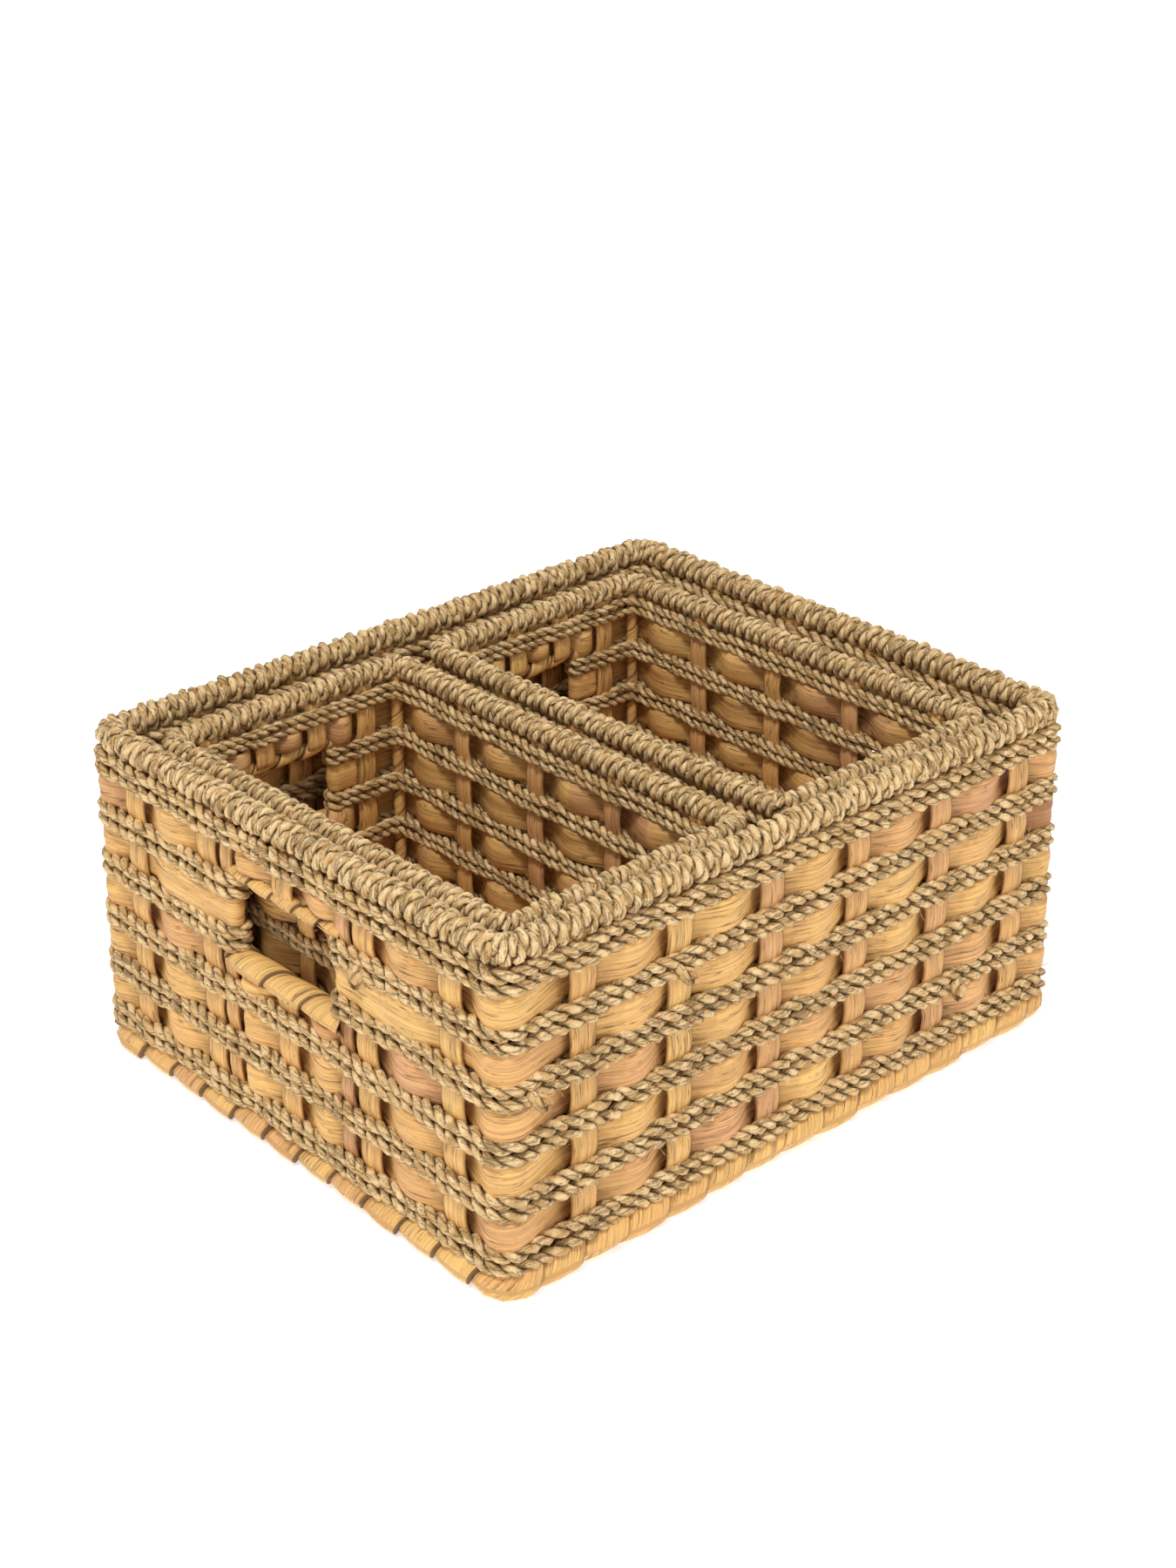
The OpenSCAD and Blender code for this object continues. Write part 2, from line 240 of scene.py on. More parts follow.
def hyacinth_colour(net):
    drift = noise(net, grain_of(net, 14, 45), detail=1.5)
    hue = own(net, "tone") + (drift - 0.5) * 0.55
    stops = [(0.0, STALK_YELLOW), (0.45, STALK_TAN), (0.8, STALK_PINK), (1.0, STALK_BROWN)]
    colour = net.add("ShaderNodeValToRGB", {"stops": stops}, {0: hue})
    streaks = noise(net, grain_of(net, 22, 700), detail=3.0)
    colour = colour * net.grade(streaks, 0.28, 0.72, 0.78, 1.16)
    flecks = net.grade(noise(net, grain_of(net, 240, 800), detail=1.0), 0.62, 0.74)
    colour = net.blend(flecks * 0.45, colour, STALK_BROWN)
    for along, across, width in ((13, 330, 0.02), (21, 610, 0.028)):
        split = split_lines(net, along, across, width)
        colour = net.blend(split * 0.75, colour, STALK_SPLIT_AND_SHADE)
    # Painted shade: the curled edges and inner faces of the strips, and the tucked edges of wound
    # turns, darken to the dark stalk colour.
    return net.blend(painted_crevice_shade(net, 0.2, 0.9) * 0.85, colour, STALK_SPLIT_AND_SHADE)


def hyacinth_height(net):
    ribs = noise(net, grain_of(net, 16, 620), detail=2.5)
    return ribs - split_lines(net, 13, 330, 0.022) * 0.8


def hyacinth_roughness(net):
    return net.grade(noise(net, grain_of(net, 30, 500)), 0.3, 0.7, 0.44, 0.64)


def rust_patches(net):
    place = net.add("ShaderNodeTexCoord", output=3)
    return net.grade(noise(net, place, scale=140.0, detail=4.0), 0.5, 0.64)


def steel_colour(net):
    return net.blend(rust_patches(net), VARNISH, RUST)


def steel_roughness(net):
    return net.grade(rust_patches(net), 0.0, 1.0, 0.35, 0.8)


MATERIALS = {
    "seagrass": new_material("twisted_seagrass", {
        "Base Color": seagrass_colour, "Roughness": seagrass_roughness,
        "Normal": bumps(seagrass_height, 0.8, 0.8 * MM), "Specular IOR Level": 0.3}),
    "hyacinth": new_material("dried_hyacinth", {
        "Base Color": hyacinth_colour, "Roughness": hyacinth_roughness,
        "Normal": bumps(hyacinth_height, 0.55, 0.5 * MM), "Specular IOR Level": 0.36}),
    "steel": new_material("varnished_steel", {
        "Base Color": steel_colour, "Roughness": steel_roughness, "Metallic": 0.6}),
}


# --- the baskets

# Sizes that the frame's boxes don't give, as in the CAD model
POST_W = 11 * MM
SLEEVE = 2.2 * MM
LOW_BAR_D = 13 * MM
HIGH_BAR_D = 8 * MM
BANDS = 5

# One side's stakes: share before the first, share after the last, number, first one inside
LAYOUTS = {
    "wide": ((0.120, 0.077, 11, 0), (0.1, 0.1, 9, 0)),
    "narrow": ((1 / 9, 1 / 9, 8, 1), (1 / 6, 1 / 6, 7, 1)),
}


class Basket:
    """Sizes and wall path of one basket, in its own frame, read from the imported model."""

    def __init__(self, name, kind, corner_r, stake_w, seed):
        self.name, self.body, self.seed = name, f"{name}_basket", seed
        self.corner_r, self.stake_w = corner_r, stake_w
        self.outer_bend = corner_r - 4 * MM
        self.turned = kind == "narrow"
        self.layouts = LAYOUTS[kind]
        # Closed loops begin and end at the corner least seen, at the back of the nest
        self.order = [(side + (3 if self.turned else 2)) % 4 for side in range(4)]
        low, high = self.node_box("rim_wrap")
        foot_low, foot_high = self.node_box("foot_wrap")
        self.centre = Vector(((low.x + high.x) / 2, (low.y + high.y) / 2, foot_low.z))
        length, width, thick = self.own_size(high - low)
        self.rim_r = thick / 2
        self.sides = (length - thick, width - thick)
        self.rim_z = high.z - self.rim_r - self.centre.z
        foot_length, _, foot_height = self.own_size(foot_high - foot_low)
        self.foot_r = (foot_length - self.sides[0]) / 2
        self.foot_z = foot_height - self.foot_r
        grips_low, grips_high = self.node_box("grips")
        self.sleeve_end = self.own_size(grips_high - grips_low)[1] / 2
        self.post_at = self.sleeve_end - SLEEVE - POST_W / 2
        self.bar_half = self.post_at - POST_W / 2 - MM
        self.hole_low = grips_low.z - self.centre.z + LOW_BAR_D
        self.hole_high = grips_high.z - self.centre.z - HIGH_BAR_D
        self.band_z = [self.row("band", k) for k in range(1, BANDS + 1)]
        self.zone_z = [self.row("cords", k) for k in range(1, BANDS + 2)]
        low, high = self.node_box("cords_1")
        self.zone_h = high.z - low.z
        self.scale = self.zone_h / (10.7 * MM)
        self.cord_r = self.scale * (3.4 if self.turned else 4.0) * MM

    def own_size(self, size):
        """A size in the nest as length, width and height of the basket."""
        return (size.y, size.x, size.z) if self.turned else tuple(size)

    def node_box(self, piece):
        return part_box(f"{self.name}_{piece}")

    def row(self, piece, k):
        """Height of the middle of a row over the basket's own floor."""
        low, high = self.node_box(f"{piece}_{k}")
        return (low.z + high.z) / 2 - self.centre.z

    def band_half(self):
        low, high = self.node_box("band_4")
        return (high.z - low.z) / 2

    # --- the wall's path

    def straight(self, side, bend=None):
        return self.sides[side % 2] / 2 - (bend or self.corner_r)

    def half_way(self, side, bend=None):
        return self.straight(side, bend) + (bend or self.corner_r) * math.pi / 4

    def wall(self, side, s, d, z, bend=None):
        """Points at distances s along a side, d outwards and z up, as rows of XYZ. Corners are
        rounded to the radius bend."""
        s, d, z = np.broadcast_arrays(*(np.asarray(v, float) for v in (s, d, z)))
        a, r = self.straight(side, bend), bend or self.corner_r
        turn = np.maximum(np.abs(s) - a, 0) / r
        x = np.where(turn > 0, np.sign(s) * (a + (r + d) * np.sin(turn)), s)
        y = r - (r + d) * np.cos(turn)
        y = y - self.sides[(side + 1) % 2] / 2
        return self.quarter_turn(side, np.stack([x, y, z], axis=-1))

    def outward(self, side, s, bend=None):
        s = np.asarray(s, float)
        turn = np.maximum(np.abs(s) - self.straight(side, bend), 0) / (bend or self.corner_r)
        n = np.stack([np.sign(s) * np.sin(turn), -np.cos(turn), 0 * s], axis=-1)
        return self.quarter_turn(side, n)

    @staticmethod
    def quarter_turn(side, p):
        x, y, z = p[..., 0], p[..., 1], p[..., 2]
        for _ in range(side % 4):
            x, y = -y, x
        return np.stack([x, y, z], axis=-1)

    def to_nest(self, points):
        points = self.quarter_turn(1, points) if self.turned else points
        return points + np.array(self.centre)

    # --- stakes

    def has_hole(self, side):
        return side % 2 == 1

    def all_stakes(self, side):
        """[(distance along the side, 1 outside the bands or -1 inside)]"""
        first, last, count, inside = self.layouts[side % 2]
        length = self.sides[side % 2]
        return [(length * (first + (1 - first - last) * i / (count - 1) - 0.5),
                 1 if (i + inside) % 2 == 0 else -1) for i in range(count)]

    def full_stakes(self, side):
        edge = self.sleeve_end - 0.3 * MM
        return [s for s in self.all_stakes(side)
                if not self.has_hole(side) or abs(s[0]) - self.stake_w / 2 >= edge - 1e-6]

    def cut_stakes(self, side):
        hole_half = self.bar_half - 3 * MM
        return [s for s in self.all_stakes(side) if self.has_hole(side) and abs(s[0]) < hole_half]

    def posts(self, side):
        return [(-self.post_at, 1), (self.post_at, 1)] if self.has_hole(side) else []

    def knots(self, side, bend=None):
        """Everything a band passes on a side, in order: (distance, kind)."""
        if self.has_hole(side):
            found = self.full_stakes(side) + self.cut_stakes(side) + self.posts(side)
        else:
            found = self.all_stakes(side)
        kinds = [(s, "outside" if way > 0 else "inside") for s, way in sorted(found)]
        end = self.half_way(side, bend)
        return [(-end, "corner")] + kinds + [(end, "corner")]


WIDE = Basket("wide", "wide", 11 * MM, 18 * MM, 11)
LEFT = Basket("left", "narrow", 9.5 * MM, 14 * MM, 23)
RIGHT = Basket("right", "narrow", 9.5 * MM, 14 * MM, 37)
BASKETS = (WIDE, LEFT, RIGHT)


# --- mesh helpers

class Sheaf:
    """Collects strips and bars into one mesh with its fibre coordinates and tones."""

    def __init__(self):
        self.verts, self.faces, self.count = [], [], 0
        self.grain, self.tone, self.rise = [], [], []

    def add(self, verts, faces, grain, tone, rise):
        self.verts.append(verts)
        self.faces.extend([tuple(int(i) + self.count for i in face) for face in faces])
        self.grain.append(grain)
        self.tone.append(np.broadcast_to(tone, len(verts)))
        self.rise.append(np.broadcast_to(rise, len(verts)))
        self.count += len(verts)

    def make(self, name, material, basket):
        verts = basket.to_nest(np.concatenate(self.verts))
        mesh = bpy.data.meshes.new(name)
        mesh.from_pydata(verts.tolist(), [], self.faces)
        mesh.update()
        mesh.shade_smooth()
        for label, rows in (("grain", self.grain), ("tone", self.tone), ("rise", self.rise)):
            store(mesh, label, np.concatenate(rows))
        mesh.materials.append(material)
        return add_to_scene(name, mesh)


def store(mesh, name, values):
    kind, field = ("FLOAT_VECTOR", "vector") if values.ndim == 2 else ("FLOAT", "value")
    attribute = mesh.attributes.new(name, kind, "POINT")
    attribute.data.foreach_set(field, np.asarray(values, np.float32).ravel())


def settle(piece, basket, slot, *nodes):
    """A finished piece rides on its basket and stands for its CAD nodes."""
    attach(piece, basket.body)
    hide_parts(*[f"{basket.name}_{node}" for node in nodes])


def draws(basket, group):
    """The random numbers of one group of pieces."""
    return np.random.default_rng(basket.seed * 100 + group)


def lay_strips(basket, label, node, group, fill):
    """A piece of flat stalk for one basket. Fill adds its strips to a sheaf."""
    sheaf = Sheaf()
    fill(basket, sheaf, draws(basket, group))
    piece = sheaf.make(f"{basket.name}_{label}", MATERIALS["hyacinth"], basket)
    settle(piece, basket, "hyacinth", node)


def ripple(x, rng, length, size):
    """A smooth random wave of about that length and size."""
    total = np.zeros_like(np.asarray(x, float))
    for share, rate in ((0.6, 1.0), (0.3, 2.3), (0.2, 4.1)):
        phase = TAU * rate * x / length * rng.uniform(0.8, 1.2) + rng.uniform(0, TAU)
        total += share * np.sin(phase)
    return size * total


def ease(x, places, values):
    """Values at the places, joined by smooth steps."""
    places, values = np.asarray(places, float), np.asarray(values, float)
    i = np.clip(np.searchsorted(places, x) - 1, 0, len(places) - 2)
    t = np.clip((x - places[i]) / (places[i + 1] - places[i]), 0, 1)
    t = (1 - np.cos(math.pi * t)) / 2
    return values[i] + (values[i + 1] - values[i]) * t


def along_path(points):
    steps = np.linalg.norm(np.diff(points, axis=0), axis=1)
    return np.concatenate([[0], np.cumsum(steps)])


def grid_faces(rows, columns, closed_rows):
    """Quads of a grid whose columns close, and whose rows close if asked."""
    i = np.arange(rows if closed_rows else rows - 1)[:, None]
    j = np.arange(columns)[None, :]
    next_i, next_j = (i + 1) % rows, (j + 1) % columns
    corners = ((i, j), (i, next_j), (next_i, next_j), (next_i, j))
    return np.stack([row * columns + column for row, column in corners], axis=-1).reshape(-1, 4)


OUTER = np.linspace(-1, 1, 9)
INNER = np.linspace(0.9, -0.9, 5)


def flat_strip(sheaf, centre, out, across, half, rng, thick=2.2 * MM, crown=1.3 * MM,
               curl=1.6 * MM, tone=0.5, closed=False, relief=0.2 * MM):
    """One flat strip of stalk swept along centre: crowned outwards, its edges curled in."""
    n = len(centre)
    half, crown = np.broadcast_to(half, n), np.broadcast_to(crown, n)
    out, across = np.broadcast_to(out, (n, 3)), np.broadcast_to(across, (n, 3))
    run = along_path(centre)
    v = np.concatenate([OUTER, INNER])
    face = np.concatenate([np.full(len(OUTER), 0.5), np.full(len(INNER), -0.5)])
    bulge = crown[:, None] * (1 - v ** 2) - np.sign(crown)[:, None] * curl * np.abs(v) ** 7
    ribs = sum(np.sin(v * rate + ripple(run, rng, 0.09, 1.6)[:, None] + rng.uniform(0, TAU))
               for rate in (5.0, 9.0))
    depth = face * thick + bulge + relief * ribs * (face > 0)
    width = v[None, :] * half[:, None]
    points = (centre[:, None, :] + out[:, None, :] * depth[..., None]
              + across[:, None, :] * width[..., None])
    start = rng.uniform(0, 9)
    grain = np.stack([0 * width + (run[:, None] + start), width, 0 * width + start], -1)
    columns = len(v)
    faces = [tuple(f) for f in grid_faces(n, columns, closed)]
    if not closed:
        faces += [tuple(range(columns - 1, -1, -1)), tuple(range((n - 1) * columns, n * columns))]
    tones = np.repeat(np.broadcast_to(tone, n), columns)
    # Painted shade: a strip's curled edges and its inner face get a lower rise, so their colour is
    # darkened.
    rise = np.tile(np.where(np.abs(v) > 0.95, 0.45, 1.0) - 0.3 * (face < 0), n)
    sheaf.add(points.reshape(-1, 3), faces, grain.reshape(-1, 3), tones, rise)


def wound_bar(sheaf, centre, out, up, radius, pitch, rng, closed=False, step=0.7 * MM,
              flat_z=None, sides=20):
    """A bar wound with overlapping turns of flat strip. Each turn's edge lies on the next."""
    if closed:
        centre, out = np.vstack([centre, centre[:1]]), np.vstack([out, out[:1]])
    run = along_path(centre)
    total = run[-1]
    turns = max(2, round(total / pitch))
    pitch = total / turns
    shares = np.array([0.0, 0.03, 0.13, 0.35, 0.6, 0.84, 0.92, 0.97])
    per = len(shares)
    reach = turns if closed else turns + 1
    w = (np.arange(reach)[:, None] + shares[None, :]).ravel()
    if not closed:
        w = w - 1
    theta = np.arange(sides) / sides * TAU
    share = np.tile(shares, reach)
    turn_id = np.repeat(np.arange(reach), per)
    lift = rng.uniform(-0.4, 0.6, reach)[turn_id] * step
    tone = rng.uniform(-0.05, 0.6, reach)[turn_id]
    # Painted shade: the tucked edges of each turn get a low rise, so their colour is darkened.
    rise = np.where(share < 0.02, 0.1, np.where(share > 0.96, 0.35, 1.0))
    profile = step * (share - 0.5) + 0.6 * step * np.sin(math.pi * share) + lift
    profile = profile - 0.7 * step * (share < 0.02)
    x = (w[:, None] + theta[None, :] / TAU) * pitch
    x = np.mod(x, total) if closed else np.clip(x, 0, total)
    place, outs = (np.stack([np.interp(x, run, row[:, k]) for k in range(3)], -1)
                   for row in (centre, out))
    r = radius + profile[:, None] + 0 * x
    points = (place + outs * (r * np.cos(theta))[..., None]
              + np.asarray(up) * (r * np.sin(theta))[..., None])
    if flat_z is not None:
        points[..., 2] = np.maximum(points[..., 2], flat_z)
    m = len(w)
    faces = []
    for i in range(m if closed else m - 1):
        for a in range(sides):
            b = (a + 1) % sides
            shift = per if b == 0 else 0
            quad = [(i, a), (i + 1, a), (i + 1 + shift, b), (i + shift, b)]
            if closed or all(q[0] < m for q in quad):
                faces.append(tuple((q[0] % m) * sides + q[1] for q in quad))
    if not closed:
        first = [q * sides for q in range(per, -1, -1)] + list(range(1, sides))
        last = ([(m - 1 - q) * sides for q in range(per + 1)]
                + [(m - 1 - per) * sides + q for q in range(1, sides)])
        faces += [tuple(first), tuple(reversed(last))]
    grain = np.stack([theta[None, :] * radius + 0.3 * turn_id[:, None],
                      0 * x + share[:, None] * pitch, 0 * x + turn_id[:, None]], -1)
    sheaf.add(points.reshape(-1, 3), faces, grain.reshape(-1, 3), np.repeat(tone, sides),
              np.repeat(rise, sides))


# --- flat bands

def sample_side(basket, side, step, start=None, stop=None, bend=None):
    end = basket.half_way(side, bend)
    start = -end if start is None else start
    stop = end if stop is None else stop
    count = max(3, round((stop - start) / step))
    return np.linspace(start, stop, count, endpoint=False)


OPEN_BAND = 2
BAND_STEP = 2.2 * MM
# Where a band passes a stake on either face of the wall, or turns a corner
BAND_DEPTH = {"outside": -2.8 * MM, "inside": 5.0 * MM, "corner": 4.6 * MM}
BAND_SPREAD = {"outside": 0.98, "inside": 1.10, "corner": 1.06}
BAND_CROWN = {"outside": -2.2 * MM, "inside": 1.6 * MM, "corner": 1.3 * MM}
# The narrow baskets' bands swing further in
NARROW_SWING = 2.4 * MM


def band_waves(basket, side, rng, covered=()):
    """How a band swings, spreads, drifts and bulges along one side: functions of the distance."""
    knots = basket.knots(side, basket.outer_bend)
    kinds = ["inside" if at in covered else kind for at, kind in knots]
    swing = {"outside": -NARROW_SWING * basket.turned}

    def stray(kind, low, high):
        return rng.uniform(low, high) * (kind != "corner")

    depth = [BAND_DEPTH[kind] * basket.scale + swing.get(kind, 0) + stray(kind, -0.4, 0.5) * MM
             for kind in kinds]
    spread = [BAND_SPREAD[kind] + stray(kind, -0.05, 0.05) for kind in kinds]
    drift = [stray(kind, -0.5, 0.5) * MM for kind in kinds]
    crown = [BAND_CROWN[kind] * basket.scale for kind in kinds]
    places = [at for at, _ in knots]
    return [lambda s, values=values: ease(s, places, values)
            for values in (depth, spread, drift, crown)]


def strip_tone(rng, *count):
    return rng.beta(2.2, 3.4, *count)


def strip_tones(basket, side, s, rng, start, finish=None):
    """Tone of the strip at each distance. Strips are spliced behind outside stakes, and one
    that comes round a corner keeps its tone."""
    joints = [at for at, kind in basket.knots(side) if kind == "outside"]
    tones = strip_tone(rng, len(joints) + 1)
    tones[0] = start
    if finish is not None:
        tones[-1] = finish
    return tones[np.searchsorted(joints, s)]


def band_notch(basket, s):
    """1 where the bar over or under a hand hole takes half of the band's height."""
    return np.clip((basket.bar_half + 1 * MM - np.abs(s)) / (4 * MM), 0, 1)


def weave_band(basket, sheaf, rng, k):
    """The whole loop of a band, or for the band with hand holes in it, its two lengths."""
    z, half = basket.band_z[k - 1], basket.band_half()
    if k == OPEN_BAND:
        for side in (0, 2):
            add_open_band(basket, sheaf, side, z, half, rng)
        return
    parts, bend = [], basket.outer_bend
    first = tone = strip_tone(rng)
    for side in basket.order:
        s = sample_side(basket, side, BAND_STEP, bend=bend)
        depth, spread, drift, crown = band_waves(basket, side, rng)
        notch = band_notch(basket, s) * basket.has_hole(side) * (k in (1, 3))
        cut = (HIGH_BAR_D if k == 1 else LOW_BAR_D) / 2 * notch
        height = z + drift(s) + (cut if k == 1 else -cut)
        width = half * spread(s) - cut + ripple(s, rng, 0.05, 0.25 * MM)
        tones = strip_tones(basket, side, s, rng, tone, first if side == basket.order[-1] else None)
        tone = tones[-1]
        parts.append((basket.wall(side, s, depth(s), height, bend), basket.outward(side, s, bend),
                      width, tones, crown(s)))
    centre, outs, widths, tones, crowns = (np.concatenate(values) for values in zip(*parts))
    flat_strip(sheaf, centre, outs, UP, widths, rng, crown=crowns, tone=tones, closed=True)


def add_open_band(basket, sheaf, side, z, half, rng):
    """A band from one hand hole round a long side to the other, each end wrapped on a post."""
    bend, edge, tone = basket.outer_bend, basket.sleeve_end, strip_tone(rng)
    before, after = (side - 1) % 4, (side + 1) % 4
    parts = []
    lengths = ((before, 1, edge, None), (side, 0, None, None), (after, -1, None, -edge))
    for at, way, start, stop in lengths:
        s = sample_side(basket, at, BAND_STEP, start, stop, bend)
        beside = [at_s * way for at_s, _ in basket.full_stakes(at) if at_s * way > 0]
        depth, spread, drift, _ = band_waves(basket, at, rng, [way * min(beside)] if way else [])
        d = depth(s)
        if way:
            near = np.clip(1 - (np.abs(s) - edge) / (18 * MM), 0, 1)
            d = np.maximum(d, 4.2 * MM * basket.scale * np.minimum(1, near * 3))
        tones = strip_tones(basket, at, s, rng, tone)
        tone = tones[-1]
        parts.append((basket.wall(at, s, d, z + drift(s), bend), basket.outward(at, s, bend),
                      half * spread(s), tones))

    def wrapped_end(at, way, tone):
        points, outs = post_hook(basket, at, way, z)
        even = np.ones(len(points))
        return points[::-way], outs[::-way], even * half * 0.97, even * tone

    parts = ([wrapped_end(before, 1, parts[0][-1][0])] + parts
             + [wrapped_end(after, -1, parts[-1][-1][-1])])
    centre, outs, widths, tones = (np.concatenate(values) for values in zip(*parts))
    flat_strip(sheaf, centre, outs, UP, widths, rng, tone=tones, crown=0.7 * MM, curl=0.8 * MM)


def post_hook(basket, side, way, z):
    """Path of a band end: over the post's outer face, round its edge and back inside."""
    r, step = 3.4 * MM, BAND_STEP
    edge = basket.post_at - POST_W / 2 - 0.6 * MM + r
    over = np.arange(basket.sleeve_end, edge, -step)
    turn = np.linspace(0, math.pi, 8)
    back = np.arange(edge, basket.sleeve_end + 4 * MM, step)
    s = np.concatenate([over, edge - r * np.sin(turn), back[1:]])
    middle = 0.9 * MM
    d = np.concatenate([np.full(len(over), middle + r), middle + r * np.cos(turn),
                        np.full(len(back) - 1, middle - r)])
    angle = np.concatenate([np.zeros(len(over)), turn, np.full(len(back) - 1, math.pi)])
    s, normal = s * way, basket.outward(side, s)
    along = basket.wall(side, s + way * MM, d, z) - basket.wall(side, s, d, z)
    along = -along / np.linalg.norm(along, axis=1, keepdims=True)
    outs = normal * np.cos(angle)[:, None] + along * np.sin(angle)[:, None]
    return basket.wall(side, s, d, z), outs


# --- stakes

def stake_strip(basket, sheaf, side, s, way, width, low, high, rng):
    """One upright strip from low to high, swelling over each band it lies outside of."""
    z = np.linspace(low, high, max(4, round((high - low) / (3 * MM))))
    over = np.zeros_like(z)
    for row in basket.band_z:
        off = np.clip((z - row) / (basket.band_half() * 1.5), -1, 1)
        over = np.maximum(over, np.cos(off * math.pi / 2))
    depth = way * (0.9 * MM + 3.0 * MM * over) + ripple(z, rng, 0.08, 0.15 * MM)
    wander = s + ripple(z, rng, 0.2, 0.6 * MM)
    centre = basket.wall(side, wander, depth, z)
    out = basket.outward(side, wander) * way
    across = basket.quarter_turn(side, np.array([1.0, 0.0, 0.0])) * way
    half = width / 2 + ripple(z, rng, 0.07, 0.3 * MM)
    flat_strip(sheaf, centre, out, across, half, rng, thick=1.5 * MM, crown=0.7 * MM, curl=0.6 * MM,
               tone=rng.beta(2.2, 2.8), relief=0.16 * MM)


def plant_stakes(basket, sheaf, rng):
    low = basket.foot_z + basket.foot_r - 2 * MM
    high = basket.rim_z - basket.rim_r + 3 * MM
    over = basket.hole_high + HIGH_BAR_D / 2
    under = basket.hole_low - LOW_BAR_D * 0.6
    for side in range(4):
        whole = [(s, way, basket.stake_w) for s, way in basket.full_stakes(side)]
        whole += [(s, way, POST_W) for s, way in basket.posts(side)]
        for s, way, width in whole:
            stake_strip(basket, sheaf, side, s, way, width, low, high, rng)
        for s, way in basket.cut_stakes(side):
            stake_strip(basket, sheaf, side, s, way, basket.stake_w, low, under, rng)
            stake_strip(basket, sheaf, side, s, way, basket.stake_w, over, high, rng)


# --- windings, bars and posts

def wall_loop(basket, d, z, step, bend):
    """Closed path round the wall, with its outward directions."""
    points, outs = [], []
    for side in basket.order:
        s = sample_side(basket, side, step, bend=bend)
        points.append(basket.wall(side, s, d, z, bend))
        outs.append(basket.outward(side, s, bend))
    return np.concatenate(points), np.concatenate(outs)


def wind_foot(basket, sheaf, rng):
    centre, outs = wall_loop(basket, 0, basket.foot_z, 3 * MM, basket.foot_r + 1 * MM)
    wound_bar(sheaf, centre, outs, UP, basket.foot_r - 0.8 * MM, 29 * MM, rng, closed=True,
              step=2.0 * MM, flat_z=0.0, sides=24)


def wind_corner_posts(basket, sheaf, rng):
    low = basket.foot_z + basket.foot_r * 0.6
    high = basket.rim_z - basket.rim_r * 0.6
    z = np.linspace(low, high, 40)
    for side in range(4):
        s = np.full(len(z), basket.half_way(side))
        along = basket.quarter_turn(side, np.array([1.0, 1.0, 0.0]) / math.sqrt(2))
        wound_bar(sheaf, basket.wall(side, s, 0, z), basket.outward(side, s), along, 3.4 * MM,
                  16 * MM, rng, step=0.4 * MM, sides=12)


def wind_grips(basket, sheaf, rng):
    """The wound bars under and over each hand hole: radius, height, pitch, step and depth."""
    half = basket.bar_half + 6 * MM
    s = np.linspace(-half, half, 30)
    sag = -0.8 * MM * np.cos(s / half * math.pi / 2)
    low_r, high_r = LOW_BAR_D / 2, HIGH_BAR_D / 2
    bars = ((low_r + 0.6 * MM, basket.hole_low - low_r, 31 * MM, 1.2 * MM, 0.4 * MM),
            (high_r, basket.hole_high + high_r, 19 * MM, 1.3 * MM, 1.2 * MM))
    for side in (1, 3):
        for radius, z, pitch, step, d in bars:
            wound_bar(sheaf, basket.wall(side, s, d, z + sag), basket.outward(side, s), UP, radius,
                      pitch, rng, step=step)


# --- woven base

def weave_base(basket, sheaf, rng):
    """Flat strips each way, over and under, about 25 mm apart."""
    reach = [side / 2 - (basket.foot_r - 2 * MM) for side in basket.sides]
    counts = [max(3, round(2 * r / (25 * MM))) for r in reach]
    width = [2 * r / count for r, count in zip(reach, counts)]
    for axis, other in ((0, 1), (1, 0)):
        run = np.linspace(-reach[axis], reach[axis], counts[axis] * 5 + 1)
        for n in range(counts[other]):
            phase = math.pi * ((run + reach[axis]) / width[axis] + n + axis)
            centre, across = np.zeros((len(run), 3)), np.zeros(3)
            centre[:, axis] = run
            centre[:, other] = (-reach[other] + (n + 0.5) * width[other]
                                + ripple(run, rng, 0.2, 0.5 * MM))
            centre[:, 2] = basket.foot_z + 1.25 * MM * np.sin(phase)
            across[other] = 1.0 if axis == 1 else -1.0
            flat_strip(sheaf, centre, UP, across, width[other] * 0.48, rng, thick=1.6 * MM,
                       crown=0.5 * MM, curl=0.4 * MM, tone=rng.beta(1.8, 1.8))


# --- twisted cord, by Geometry Nodes

def length_so_far(net):
    """Metres along a curve."""
    return net.add("GeometryNodeSplineParameter", output=1)


def uneven(net, run, rate, seed, shift=0.0, detail=1.0):
    """Changes at random along a curve, from 0 to 1."""
    return net.add("ShaderNodeTexNoise", {"noise_dimensions": "1D"},
                   {"W": run * rate + seed + shift, "Scale": 1.0, "Detail": detail})


def lay_round(net, curve, radius, turns, wobble, seed, normals):
    """Lays a curve round its old self in a helix, with a little wander in the turns."""
    curve = net.add("GeometryNodeSetCurveNormal", {"mode": normals}, {"Curve": curve})
    run = length_so_far(net)
    angle = (turns + (uneven(net, run, 60.0, seed) - 0.5) * wobble) * TAU
    radius = radius * (0.86 + uneven(net, run, 90.0, seed, 40.0, detail=0.0) * 0.28)
    normal = net.add("GeometryNodeInputNormal")
    tangent = net.add("GeometryNodeInputTangent")
    side = net.add("ShaderNodeVectorMath", {"operation": "CROSS_PRODUCT"}, {0: tangent, 1: normal})
    offset = (normal * net.math("COSINE", angle) + side * net.math("SINE", angle)) * radius
    return net.add("GeometryNodeSetPosition", None, {"Geometry": curve, "Offset": offset})


def keep_named(net, geometry, name, value, kind="FLOAT"):
    return net.add("GeometryNodeStoreNamedAttribute", {"data_type": kind, "domain": "POINT"},
                   {"Geometry": geometry, "Name": name, "Value": value})


def named(net, name, kind="FLOAT"):
    return net.add("GeometryNodeInputNamedAttribute", {"data_type": kind}, {"Name": name})


def ring_of(net, resolution):
    return net.add("GeometryNodeCurvePrimitiveCircle", {"mode": "RADIUS"},
                   {"Resolution": resolution, "Radius": 1.0})


